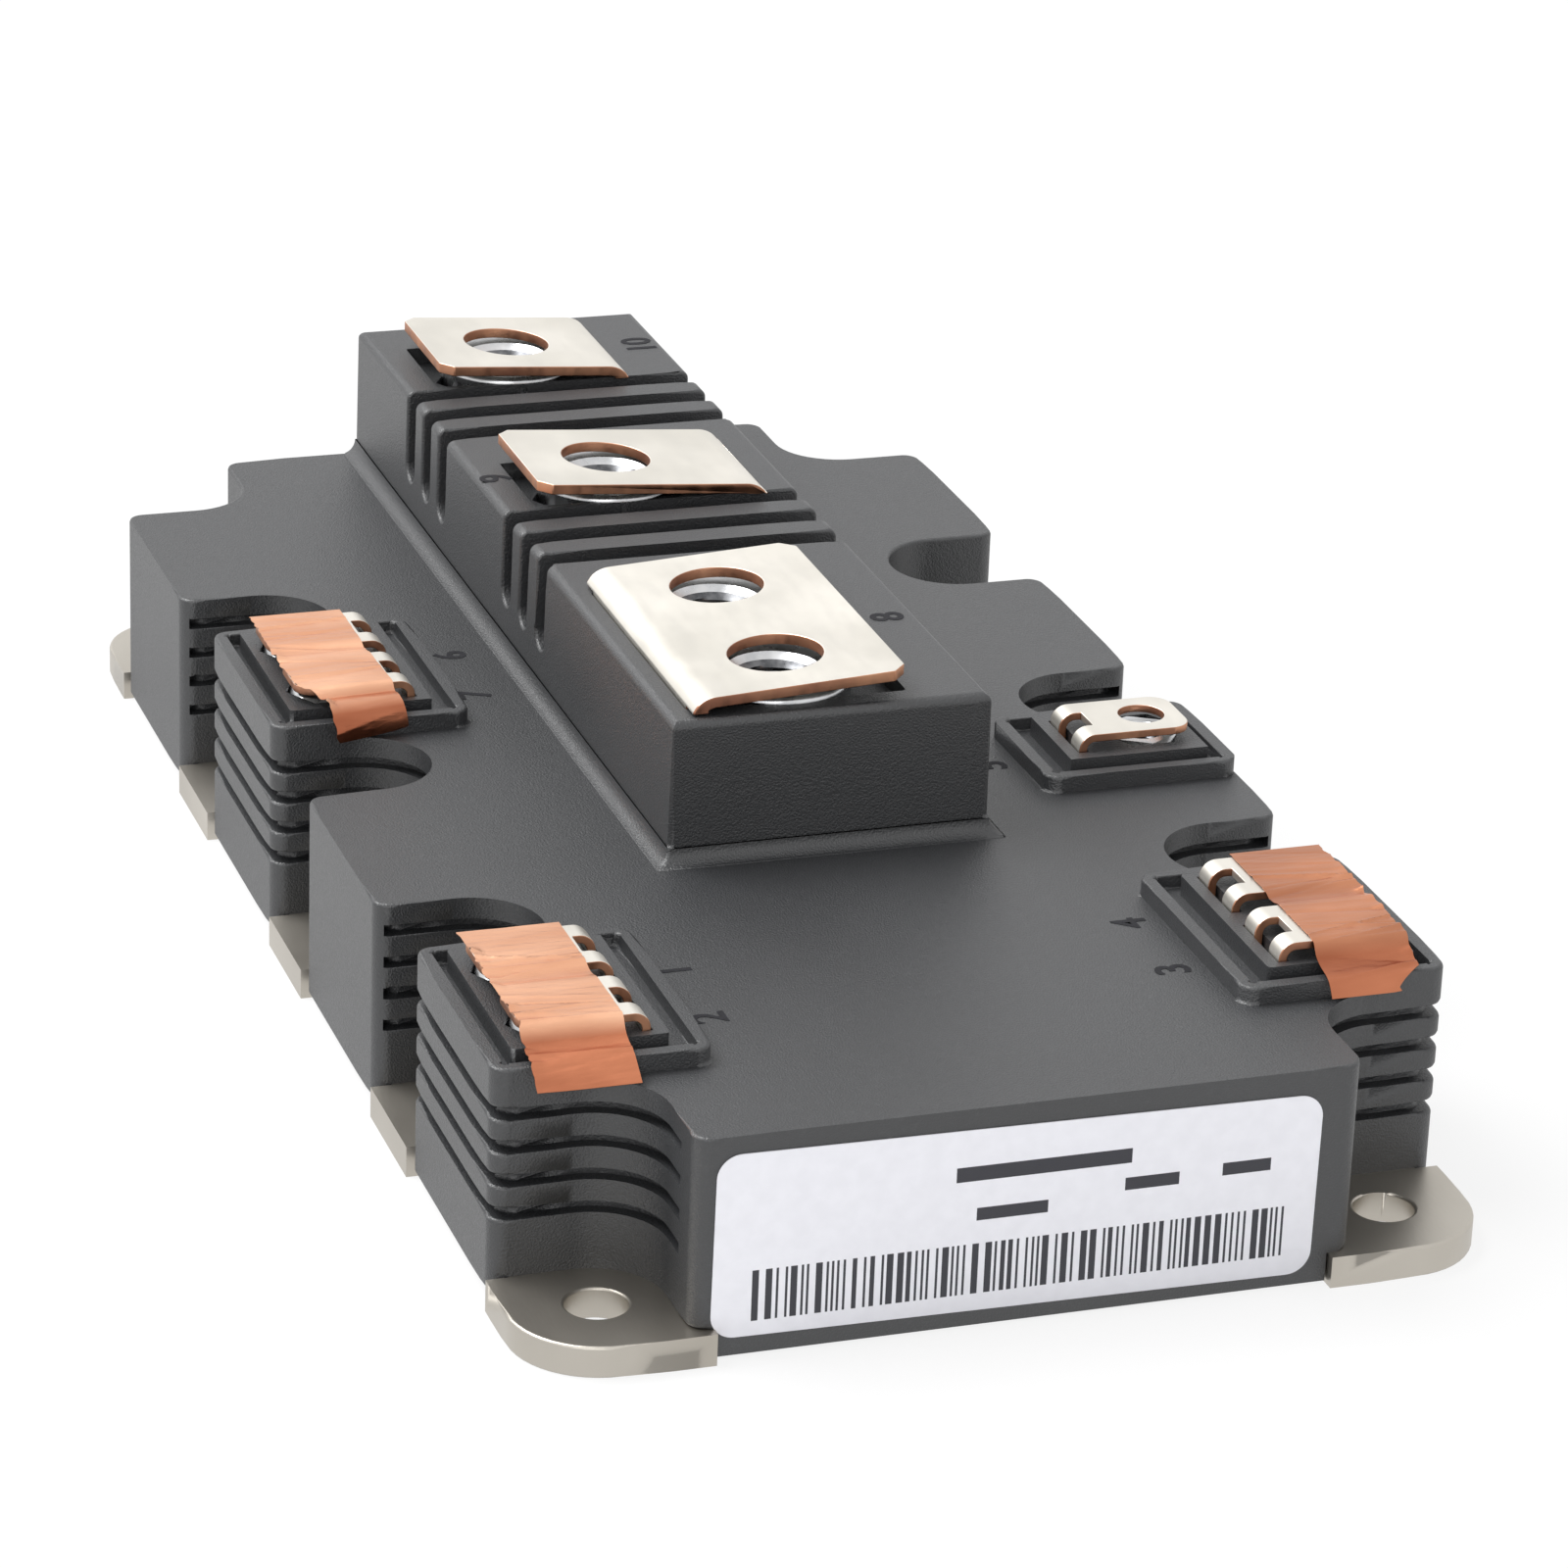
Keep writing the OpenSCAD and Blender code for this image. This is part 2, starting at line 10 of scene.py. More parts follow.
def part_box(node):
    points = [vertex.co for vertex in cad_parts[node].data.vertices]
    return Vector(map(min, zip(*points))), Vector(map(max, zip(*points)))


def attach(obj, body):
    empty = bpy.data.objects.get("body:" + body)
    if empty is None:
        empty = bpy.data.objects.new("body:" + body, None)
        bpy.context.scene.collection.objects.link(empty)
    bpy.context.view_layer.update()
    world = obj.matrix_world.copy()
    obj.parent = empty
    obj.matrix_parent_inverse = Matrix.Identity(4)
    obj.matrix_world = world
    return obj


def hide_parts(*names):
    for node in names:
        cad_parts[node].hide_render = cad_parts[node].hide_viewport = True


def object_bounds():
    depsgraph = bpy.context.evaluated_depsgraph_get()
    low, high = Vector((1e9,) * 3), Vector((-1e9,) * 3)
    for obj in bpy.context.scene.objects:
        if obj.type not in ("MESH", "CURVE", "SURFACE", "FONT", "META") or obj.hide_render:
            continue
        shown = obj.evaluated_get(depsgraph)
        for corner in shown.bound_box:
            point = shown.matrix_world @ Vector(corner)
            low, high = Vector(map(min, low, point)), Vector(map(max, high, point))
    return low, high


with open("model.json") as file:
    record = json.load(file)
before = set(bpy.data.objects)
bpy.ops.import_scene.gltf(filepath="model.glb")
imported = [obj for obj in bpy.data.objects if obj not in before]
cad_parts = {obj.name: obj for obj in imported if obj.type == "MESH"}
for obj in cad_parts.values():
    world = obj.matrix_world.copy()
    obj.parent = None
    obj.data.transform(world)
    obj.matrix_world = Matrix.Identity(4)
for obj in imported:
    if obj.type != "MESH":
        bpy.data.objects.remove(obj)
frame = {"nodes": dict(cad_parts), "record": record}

scene = bpy.context.scene
cad_low, cad_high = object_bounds()
mm = 0.001
mounts = {mount["name"]: Vector(mount["pos_m"]) for mount in frame["record"]["mounts"]}


# Base plate: rolled copper, punched, nickel-plated and bowed a little so that it presses flat on
# its heat sink. Ten screws hold it down. Its edge steps back where the case's skirts cover it.

class Wire:
    """An output of a material's node. Operators on it add Math nodes."""

    def __init__(self, socket):
        self.socket = socket

    def node(self, kind, settings=(), inputs=(), output=0):
        """A new node of a type, with its settings made first and then its sockets' values or links"""
        tree = self.socket.id_data
        made = tree.nodes.new(kind)
        for name, value in dict(settings).items():
            setattr(made, name, value)
        for name, value in dict(inputs).items():
            if isinstance(value, Wire):
                tree.links.new(value.socket, made.inputs[name])
            else:
                made.inputs[name].default_value = value
        return Wire(made.outputs[output])

    def math(self, operation, first, second=0.0):
        return self.node("ShaderNodeMath", {"operation": operation}, {0: first, 1: second})

    def __add__(self, other):
        return self.math("ADD", self, other)

    def __radd__(self, other):
        return self.math("ADD", other, self)

    def __sub__(self, other):
        return self.math("SUBTRACT", self, other)

    def __mul__(self, other):
        return self.math("MULTIPLY", self, other)

    def __rmul__(self, other):
        return self.math("MULTIPLY", other, self)

    def __gt__(self, other):
        return self.math("GREATER_THAN", self, other)

    def __lt__(self, other):
        return self.math("LESS_THAN", self, other)

    def size(self):
        return self.math("ABSOLUTE", self)

    def noise(self, scale, detail=3.0, stretch=(1, 1, 1), low=0.35, high=0.65):
        """Noise from 0 to 1 between two levels, at so many bumps per metre"""
        laid = self.node("ShaderNodeVectorMath", {"operation": "MULTIPLY"}, {0: self, 1: stretch})
        raw = laid.node("ShaderNodeTexNoise", inputs={"Vector": laid, "Scale": scale, "Detail": detail})
        return raw.node("ShaderNodeMapRange", inputs={"Value": raw, "From Min": low, "From Max": high})

    def blend(self, first, second):
        """A colour between two, where this wire is 0 and 1"""
        return self.node("ShaderNodeMix", {"data_type": "RGBA"}, {0: self, 6: first, 7: second}, output=2)

    def bump(self, strength, distance):
        sizes = {"Height": self, "Strength": strength, "Distance": distance}
        return self.node("ShaderNodeBump", inputs=sizes)


def tint(code):
    """A hex colour as linear RGBA"""
    parts = [int(code[i:i + 2], 16) / 255 for i in (1, 3, 5)]
    return tuple(c / 12.92 if c <= 0.04045 else ((c + 0.055) / 1.055) ** 2.4 for c in parts) + (1.0,)


def new_finish(name, **constants):
    """A material, its surface shader and a wire that carries the place on the object"""
    material = bpy.data.materials.new(name)
    material.use_nodes = True
    shader = material.node_tree.nodes["Principled BSDF"]
    for socket, value in constants.items():
        shader.inputs[socket.replace("_", " ")].default_value = value
    place = material.node_tree.nodes.new("ShaderNodeTexCoord")
    return material, shader, Wire(place.outputs["Object"])


def feed(shader, **wires):
    for socket, wire in wires.items():
        shader.id_data.links.new(wire.socket, shader.inputs[socket.replace("_", " ")])


def add_piece(name, mesh, materials, slot_name, *nodes):
    """A piece on the only body, with its finish, in place of CAD nodes"""
    piece = bpy.data.objects.new(name, mesh)
    scene.collection.objects.link(piece)
    for material in materials:
        mesh.materials.append(material)
    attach(piece, "root")
    if nodes:
        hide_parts(*nodes)


def evaluated_mesh(thing):
    """A new mesh of an object as its modifiers or its curve leave it"""
    bpy.context.view_layer.update()
    return bpy.data.meshes.new_from_object(thing.evaluated_get(bpy.context.evaluated_depsgraph_get()))


def folded(mesh):
    """Middles of the faces whose triangles don't add up to their area"""
    mesh.calc_loop_triangles()
    covered = [0.0] * len(mesh.polygons)
    for triangle in mesh.loop_triangles:
        covered[triangle.polygon_index] += triangle.area
    return [face.center.copy() for face in mesh.polygons
            if abs(covered[face.index] - face.area) > 0.02 * face.area + 0.02 * mm * mm]


WELD, LEVEL, CREASE, TRIES = 2e-6, math.radians(0.6), math.radians(30), 12
FLAT_AREA, FLAT_WALL_AREA = 2 * mm * mm, 25 * mm * mm


def rounded_mesh(node, width, steps=2):
    """A node's mesh with its flat faces joined and its sharp edges rounded where they have room.
    Edges near a face that folds over itself stay sharp, and large faces are shaded flat."""
    mesh = frame["nodes"][node].data.copy()
    mesh.materials.clear()
    shape = bmesh.new()
    shape.from_mesh(mesh)
    bmesh.ops.remove_doubles(shape, verts=shape.verts, dist=WELD)
    bmesh.ops.dissolve_limit(shape, angle_limit=LEVEL, verts=shape.verts, edges=shape.edges)
    for face in shape.faces:
        face.smooth = True
    weight = shape.edges.layers.float.new("bevel_weight_edge")
    for edge in shape.edges:
        edge[weight] = float(edge.calc_face_angle(0.0) > CREASE)
    rough = bpy.data.objects.new(node + "_rounding", mesh)
    scene.collection.objects.link(rough)
    bevel = rough.modifiers.new("rounding", "BEVEL")
    bevel.width = width
    bevel.segments = steps
    bevel.limit_method = "WEIGHT"
    bevel.use_clamp_overlap = False
    bevel.miter_outer = "MITER_ARC"
    shading = rough.modifiers.new("shading", "WEIGHTED_NORMAL")
    shading.keep_sharp = True
    shading.weight = 100
    for attempt in range(TRIES):
        shape.to_mesh(mesh)
        rounded = evaluated_mesh(rough)
        faults = folded(rounded)
        if not faults:
            break
        for edge in shape.edges:
            middle = (edge.verts[0].co + edge.verts[1].co) / 2
            reach = (2 + 2 * attempt) * width + edge.calc_length()
            if edge[weight] and any((middle - fault).length < reach for fault in faults):
                edge[weight] = 0.0
                edge.smooth = False
    shape.free()
    bpy.data.objects.remove(rough)
    turns = [corner.vector.copy() for corner in rounded.corner_normals]
    for face in rounded.polygons:
        if face.area > (FLAT_AREA if abs(face.normal.z) > 0.999 else FLAT_WALL_AREA):
            for corner in face.loop_indices:
                turns[corner] = face.normal
    rounded.normals_split_custom_set(turns)
    return rounded


plate_nickel, shader, place = new_finish("plate_nickel", Metallic=1.0)
rolled = place.noise(60, 4, (1, 0.12, 1))
stain = place.noise(25, 5)
grain = place.noise(2600, 2, (1, 0.25, 1))
feed(shader,
     Base_Color=stain.blend(tint("#b0aaa0"), tint("#c6c1b8")),
     Roughness=0.3 + 0.1 * rolled + 0.06 * stain,
     Normal=(grain + 0.6 * rolled).bump(0.1, 0.03 * mm))
add_piece("base_plate_plated", rounded_mesh("base_plate", 0.3 * mm), [plate_nickel], "base_nickel",
          "base_plate")


# Case: one moulding in glass-filled polyester with a fine eroded surface. It slips over the plate
# and is glued to it. Grooves round the small blocks lengthen the path that a leakage current
# has to creep, and the slots across the ridge do the same between the power terminals.
case_plastic, shader, place = new_finish("case_plastic", Specular_IOR_Level=0.85)
eroded = place.noise(5200, 3, low=0.3, high=0.7)
flow = place.noise(22, 5, (1, 0.5, 1))
speck = place.noise(1500, 2, low=0.6, high=0.72)
feed(shader,
     Base_Color=(0.6 * flow + 0.4 * speck).blend(tint("#2a2b2d"), tint("#37383a")),
     Roughness=0.33 + 0.08 * flow + 0.08 * eroded,
     Normal=eroded.bump(0.5, 0.08 * mm))
CASE_ROUND = 0.35 * mm
add_piece("case_moulding", rounded_mesh("housing", CASE_ROUND), [case_plastic], "case_plastic", "housing")
add_piece("ridge_moulding", rounded_mesh("terminal_ridge", CASE_ROUND), [case_plastic], "case_plastic",
          "terminal_ridge")

# Terminal numbers: thin digits laid on the moulding and painted dark. Their dark colour is painted shade,
# standing in for the shadow in the real numerals, which are sunk a little into the moulding
painted_recess_shade, shader, place = new_finish("painted_recess_shade", Specular_IOR_Level=0.2)
shade_mottle = place.noise(1800, 3)
feed(shader,
     Base_Color=shade_mottle.blend(tint("#1c1c1f"), tint("#2a2a2e")),
     Roughness=0.6 + 0.2 * shade_mottle,
     Normal=shade_mottle.bump(0.2, 0.03 * mm))
DIGIT_H, CAP_SHARE = 3.2 * mm, 0.7
DIGIT_RAISE, DIGIT_BOLD = 0.04 * mm, 0.08 * mm
deck_z, ridge_z = (corner.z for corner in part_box("terminal_ridge"))
numbers = [("1", -21.9, -52.2, deck_z), ("2", -21.9, -62.3, deck_z), ("3", 21.4, -62.6, deck_z),
           ("4", 21.4, -52.3, deck_z), ("5", 21.7, -14.5, deck_z), ("6", -21.3, 25, deck_z),
           ("7", -21.7, 14.4, deck_z), ("8", 12.6, -8.7, ridge_z), ("9", -13.5, 36.8, ridge_z),
           ("10", 13, 74, ridge_z)]
shape = bmesh.new()
for digits, x, y, z in numbers:
    letters = bpy.data.curves.new("number_" + digits, "FONT")
    letters.body = digits
    letters.size = DIGIT_H / CAP_SHARE
    letters.align_x = letters.align_y = "CENTER"
    letters.extrude = DIGIT_RAISE
    letters.offset = DIGIT_BOLD
    letters.resolution_u = 3
    holder = bpy.data.objects.new("number_" + digits, letters)
    scene.collection.objects.link(holder)
    flat = evaluated_mesh(holder)
    flat.transform(Matrix.Translation((x * mm, y * mm, z)) @ Matrix.Rotation(math.pi / 2, 4, "Z"))
    shape.from_mesh(flat)
    bpy.data.objects.remove(holder)
marks = bpy.data.meshes.new("shade_painted_numbers")
shape.to_mesh(marks)
shape.free()
add_piece("shade_painted_numbers", marks, [painted_recess_shade], "case_plastic")


# Power terminals: strips stamped from nickel-plated copper, pushed up through the ridge and bent
# over the nuts once the case is on. The plating is missing from the stamped edges and hole walls.
terminal_nickel, shader, place = new_finish("terminal_nickel", Metallic=1.0)
cloud = place.noise(90, 4)
rub = place.noise(700, 3, (1, 0.3, 1))
feed(shader,
     Base_Color=cloud.blend(tint("#dad6cd"), tint("#e2ded6")),
     Roughness=0.4 + 0.06 * cloud + 0.05 * rub,
     Normal=rub.bump(0.08, 0.03 * mm))

cut_copper, shader, place = new_finish("cut_copper", Metallic=1.0)
torn = place.noise(900, 4, (1, 1, 0.3))
tarnish = place.noise(160, 4)
feed(shader,
     Base_Color=tarnish.blend(tint("#a0705a"), tint("#cc9878")),
     Roughness=0.34 + 0.2 * torn,
     Normal=torn.bump(0.25, 0.05 * mm))

EDGE_TURN, SIDE_TURN, CLIPPED_TURN = 0.75, 0.6, 0.3


def show_cut_edges(mesh, holes, hole_r, top_z, thickness, far_x):
    """Gives the second finish to the stamped edges: sides, clipped corners, free end, hole walls"""
    for face in mesh.polygons:
        turn, middle = face.normal, face.center
        side = abs(turn.y) > CLIPPED_TURN and abs(turn.z) < SIDE_TURN
        at_tip = middle.z > top_z - thickness and abs(middle.x - far_x) < mm
        free_end = abs(turn.x) > EDGE_TURN and at_tip
        in_hole = abs(turn.z) < EDGE_TURN and any((middle - hole).xy.length < hole_r for hole in holes)
        if side or free_end or in_hole:
            face.material_index = 1


RIDGE_TOP, CAD_PLATE_T, PLATE_T, PLATE_DROP = 35.2 * mm, 1.5 * mm, 1.1 * mm, 0.7 * mm
screw_x = mounts["ac_screw_near"].x


def raise_plate(mesh, node_top, rise, way):
    """Thins a terminal's plate and tilts it up from its bend, as it stands before a cable is on it"""
    for vertex in mesh.vertices:
        top = node_top - PLATE_DROP + math.tan(math.radians(rise)) * way * (vertex.co.x - screw_x)
        knots = [(RIDGE_TOP, RIDGE_TOP), (node_top - CAD_PLATE_T, top - PLATE_T), (node_top, top)]
        for (z0, new0), (z1, new1) in zip(knots, knots[1:]):
            if z0 < vertex.co.z <= z1 + mm / 100:
                vertex.co.z = new0 + (vertex.co.z - z0) * (new1 - new0) / (z1 - z0)
                break


PLATE_HOLE_R = 4.7 * mm
power_terminals = {"ac_terminal": (3.4, 1, ["ac_screw_near", "ac_screw_far"]),
                   "dc_plus_terminal": (4.2, -1, ["dc_plus_screw"]),
                   "dc_minus_terminal": (4.0, -1, ["dc_minus_screw"])}
for node, (rise, way, screws) in power_terminals.items():
    low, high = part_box(node)
    bent = rounded_mesh(node, 0.15 * mm)
    free_x = high.x if way > 0 else low.x
    show_cut_edges(bent, [mounts[screw] for screw in screws], PLATE_HOLE_R, high.z, CAD_PLATE_T, free_x)
    raise_plate(bent, high.z, rise, way)
    add_piece(node + "_plated", bent, [terminal_nickel, cut_copper], "terminal_nickel", node)


# Nuts: zinc-plated steel. Each M8 nut has a round collar that lies under its terminal and a
# hexagon that sits in a socket of the ridge. The M4 nuts sit in the pedestals of the blocks.
nut_zinc, shader, place = new_finish("nut_zinc", Metallic=1.0)
drawn = place.noise(420, 4)
feed(shader,
     Base_Color=drawn.blend(tint("#bcbdbf"), tint("#dedfe0")),
     Roughness=0.22 + 0.14 * drawn,
     Normal=drawn.bump(0.1, 0.03 * mm))

thread_steel, shader, place = new_finish("thread_steel", Metallic=1.0)
oiled = place.noise(900, 3)
feed(shader,
     Base_Color=oiled.blend(tint("#56575a"), tint("#7d7e80")),
     Roughness=0.25 + 0.1 * oiled,
     Normal=oiled.bump(0.1, 0.03 * mm))


def nut_mesh(name, across_flats, hole_r, pitch, z0, z1, collar=None):
    """Hexagon with a threaded hole and, on the larger ones, a round collar as (radius, z)"""
    around, rows_a_turn = 48, 6
    rows = max(2, round((z1 - z0) / pitch * rows_a_turn))
    depth, run_out = 0.54 * pitch, 0.6 * pitch
    shape = bmesh.new()

    def ring(radius, z):
        made = []
        for k in range(around):
            angle = 2 * math.pi * k / around
            r = radius(angle, z) if callable(radius) else radius
            made.append(shape.verts.new((r * math.cos(angle), r * math.sin(angle), z)))
        return made

    def hexagon(angle, z):
        off = (angle + math.pi / 6) % (math.pi / 3) - math.pi / 6
        return min(across_flats / 2 / math.cos(off), across_flats * 0.56)

    def thread(angle, z):
        wave = ((z - z0) / pitch - angle / (2 * math.pi)) % 1.0
        lead = min(1.0, (z1 - z) / run_out, (z - z0) / run_out)
        return hole_r - depth * lead * (1 - abs(2 * wave - 1))

    chamfer = 0.06 * across_flats
    outside = [(lambda a, z: hexagon(a, z) - chamfer, z0), (hexagon, z0 + chamfer)]
    if collar:
        radius, z = collar
        edge = z1 - z
        outside += [(hexagon, z), (radius, z)]
        outside += [(radius - edge * (1 - math.cos(turn)), z + edge * math.sin(turn))
                    for turn in (0.3, 0.7, 1.1, math.pi / 2)]
    else:
        outside += [(hexagon, z1 - chamfer), (lambda a, z: hexagon(a, z) - chamfer, z1)]
    sink = 0.15 * hole_r
    rings = [ring(radius, z) for radius, z in outside + [(hole_r + sink, z1), (hole_r, z1 - sink)]]
    rings += [ring(thread, z1 - sink - (z1 - sink - z0) * i / rows) for i in range(1, rows + 1)]
    for number, (above, below) in enumerate(zip(rings, rings[1:] + rings[:1])):
        for k in range(around):
            n = (k + 1) % around
            face = shape.faces.new((above[k], above[n], below[n], below[k]))
            face.material_index = int(len(outside) < number < len(rings) - 1)
    bmesh.ops.recalc_face_normals(shape, faces=shape.faces)
    mesh = bpy.data.meshes.new(name)
    shape.to_mesh(mesh)
    shape.free()
    mesh.shade_smooth()
    mesh.set_sharp_from_angle(angle=math.radians(35))
    return mesh


def joined(name, meshes):
    """One mesh out of several, each moved to its place"""
    shape = bmesh.new()
    for mesh, move in meshes:
        start = len(shape.verts)
        shape.from_mesh(mesh)
        shape.verts.ensure_lookup_table()
        bmesh.ops.translate(shape, vec=move, verts=shape.verts[start:])
    made = bpy.data.meshes.new(name)
    shape.to_mesh(made)
    shape.free()
    return made


M8_FLATS, M8_R, M8_PITCH, COLLAR_R, COLLAR_MORE = 13 * mm, 4 * mm, 1.25 * mm, 7.3 * mm, 0.3 * mm
M4_FLATS, M4_R, M4_PITCH = 7 * mm, 2 * mm, 0.7 * mm
nuts_low, nuts_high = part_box("power_nuts")
power_nut = nut_mesh("power_nut", M8_FLATS, M8_R, M8_PITCH, nuts_low.z, nuts_high.z + COLLAR_MORE,
                     (COLLAR_R, ridge_z))
screws = [mounts[name].to_2d().to_3d() for group in power_terminals.values() for name in group[2]]
add_piece("power_nuts_threaded", joined("power_nuts_threaded", [(power_nut, at) for at in screws]),
          [nut_zinc, thread_steel], "nut_zinc", "power_nuts")

small_low, small_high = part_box("aux_nuts")
small_nut = nut_mesh("aux_nut", M4_FLATS, M4_R, M4_PITCH, small_low.z, small_high.z)
tab_boxes = [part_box(f"aux_terminal_{i}") for i in range(1, 8)]
tab_hole_x = mounts["aux_screw_5"].x
tab_holes = [Vector((math.copysign(tab_hole_x, low.x + high.x), (low.y + high.y) / 2, high.z))
             for low, high in tab_boxes]
add_piece("aux_nuts_threaded",
          joined("aux_nuts_threaded", [(small_nut, at.to_2d().to_3d()) for at in tab_holes]),
          [nut_zinc, thread_steel], "nut_zinc", "aux_nuts")


# Auxiliary tabs: thin stamped strips, plated like the power terminals. Each is bent over its
# pedestal through a square window in the bend, which lets the strip fold without springing back.
TAB_HOLE_R, TAB_T = 2.4 * mm, 0.8 * mm
for i, ((low, high), hole) in enumerate(zip(tab_boxes, tab_holes), 1):
    node = f"aux_terminal_{i}"
    bent = rounded_mesh(node, 0.1 * mm)
    tip = high.x if hole.x > 0 else low.x
    show_cut_edges(bent, [hole], TAB_HOLE_R, high.z, TAB_T, tip)
    add_piece(node + "_plated", bent, [terminal_nickel, cut_copper], "terminal_nickel", node)


# Shorting strips: soft copper foil pressed over the two tabs of a block, which keeps the gates of
# the switches safe from static charge until the module is fitted. Each is creased and torn off.
foil_copper, shader, place = new_finish("foil_copper", Metallic=1.0)
mottle = place.noise(150, 3, (0.35, 1, 1))
wrinkle = place.noise(1500, 4, (0.22, 1, 1), low=0.3, high=0.7)
axes = place.node("ShaderNodeSeparateXYZ", inputs={0: place})
height = Wire(axes.socket.node.outputs["Z"])
tab_top = tab_boxes[0][1].z
# Painted shade: the foil turns from a lit copy of its copper to a darker, redder shaded copy where it hangs
# down below the tab tops
hanging_shade = height.node("ShaderNodeMapRange", inputs={"Value": height, "From Min": tab_top,
                                                    "From Max": tab_top - 1.2 * mm})
# The foil on the right-hand block (x above 0) gets browner copper tones all over
right_hand_foil = axes > 0.0
lit_copper = right_hand_foil.blend(mottle.blend(tint("#e2a582"), tint("#f0bd9c")),
                       mottle.blend(tint("#b5785a"), tint("#d0906e")))
shaded_copper = mottle.blend(tint("#9c5a40"), tint("#c07a5a"))
feed(shader,
     Base_Color=hanging_shade.blend(lit_copper, shaded_copper),
     Roughness=0.3 + 0.12 * mottle,
     Normal=wrinkle.bump(0.45, 0.1 * mm))


def foil_mesh(name, node, seed, path, shift, clip, slide=0.0, skew=0.0):
    """A creased sheet over a node's width, shifted towards the middle of the module. Its path is a
    row of (y, z) from the far end to the near one. Past a share of the path, clip pulls its torn
    outer edge in by a depth. The near end slides inwards and turns by a skew."""
    low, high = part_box(node)
    draw = random.Random(seed)
    side = math.copysign(1, low.x + high.x)
    inner, width = (low.x if side > 0 else high.x) - side * shift, high.x - low.x + 0.5 * shift
    across, along, sheet_t, span, edge_share = 40, 180, 0.06 * mm, 0.1 * mm, 0.12
    points = [Vector(point) for point in path]
    lengths = [(b - a).length for a, b in zip(points, points[1:])]
    total = sum(lengths)

    def on_path(walked):
        for a, b, length in zip(points, points[1:], lengths):
            if walked <= length or b is points[-1]:
                return a.lerp(b, min(1.0, walked / length))
            walked -= length

    def smooth(walked):
        steps = [on_path(min(total, max(0.0, walked + reach * 0.18 * mm))) for reach in range(-3, 4)]
        return sum(steps, Vector((0.0, 0.0))) / len(steps)

    def bumps(count, narrow, wide, low_size, high_size):
        """Places along the path, each with a width, a size and a slant"""
        return [(draw.uniform(0, total), draw.uniform(narrow, wide) * mm,
                 draw.uniform(low_size, high_size) * mm, draw.uniform(-0.25, 0.25)) for _ in range(count)]

    def height(row, walked, x=0.0):
        return sum(size * math.exp(-((walked - at - slant * x) / wide) ** 2)
                   for at, wide, size, slant in row)

    folds = bumps(24, 0.12, 0.35, -0.14, 0.2)
    tears = bumps(26, 0.12, 0.6, -0.28, 0.2)
    curls = bumps(12, 0.3, 1.2, -0.1, 0.4)
    shape = bmesh.new()
    grid = []
    for j in range(along + 1):
        share = j / along
        walked = total * share
        at = smooth(walked)
        run = (smooth(walked + span) - smooth(walked - span)).normalized()
        tear = height(tears, walked) - clip[1] * min(1.0, max(0.0, (share - clip[0]) * 12))
        row = []
        for i in range(across + 1):
            out = i / across
            x = inner + side * (out * (width + tear * min(1.0, 2 * out)) - slide * share ** 4)
            lift = height(folds, walked, x - inner) * (0.5 + 0.5 * out)
            lift += height(curls, walked) * max(0.0, out - 1 + edge_share) / edge_share
            y = at.x - skew * (out - 0.5) * share ** 6
            row.append(shape.verts.new((x, y - lift * run.y, at.y + lift * abs(run.x))))
        grid.append(row)
    for a, b in zip(grid, grid[1:]):
        for k in range(across):
            shape.faces.new((a[k], a[k + 1], b[k + 1], b[k]))
    bmesh.ops.recalc_face_normals(shape, faces=shape.faces)
    bmesh.ops.solidify(shape, geom=shape.faces[:], thickness=sheet_t)
    mesh = bpy.data.meshes.new(name)
    shape.to_mesh(mesh)
    shape.free()
    mesh.shade_smooth()
    mesh.set_sharp_from_angle(angle=math.radians(45))
    return mesh


draped = ((0.9, 1.2), (2.2, 1.8), (3.6, 2.0), (4.4, 2.5))
curled = ((0.8, 1.0), (1.7, 0.7), (3.0, 0.9), (4.0, 1.5), (4.6, 2.5), (4.6, 3.4), (4.1, 4.0))
foils = (("foil_strip_1_2", 3, 2, 1, 1.3, draped + ((6.3, 3.8),), (1.1, 0), 0.0, 0.0),
         ("foil_strip_3_4", 5, 3, 4, 0.8, draped + ((5.2, 3.7),), (0.9, 2.4 * mm), 0.0, 0.0),
         ("foil_strip_6_7", 8, 7, 6, 1.3, curled, (0.7, 1.9 * mm), 1.1 * mm, 2.2 * mm))
LIE, DIP, DIP_IN, EDGE_IN = 0.16 * mm, 0.35 * mm, 0.8 * mm, 0.3 * mm
for node, seed, near_tab, far_tab, shift, end, clip, slide, skew in foils:
    low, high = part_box(node)
    near, far = tab_boxes[near_tab - 1], tab_boxes[far_tab - 1]
    edge, lie = near[0].y, near[1].z + LIE
    path = [(high.y, lie), (far[0].y, lie), (far[0].y - DIP_IN, lie - DIP),
            (near[1].y + DIP_IN, lie - DIP), (near[1].y, lie), (edge - EDGE_IN, lie)]
    path += [(edge - y * mm, lie - z * mm) for y, z in end]
    sheet = foil_mesh(node + "_creased", node, seed, path, shift * mm, clip, slide, skew)
    add_piece(node + "_creased", sheet, [foil_copper], "copper_foil", node)


# Label: white satin film, cut with round corners and stuck on the end wall. Its print is left as
# plain bars: four short strokes and a row of upright ones, some of them wide.
label_film, shader, place = new_finish("label_film", Specular_IOR_Level=0.4)
axes = place.node("ShaderNodeSeparateXYZ", inputs={0: place})
across, up = axes, Wire(axes.socket.node.outputs["Z"])
low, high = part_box("label")
label_x = (low.x + high.x) / 2
bars = None
draw = random.Random(11)
strokes = [(-6, 10, 14.2, 15.6), (-4, 2.5, 10.4, 11.6), (9.5, 14.5, 11.6, 12.8), (18.5, 23, 11.9, 13.1)]
x = -24.0
while x < 25:
    wide = draw.choice((0.22, 0.22, 0.42, 0.6))
    strokes.append((x, x + wide, 3.4, 8.2))
    x += wide + draw.choice((0.25, 0.35, 0.35, 0.6))
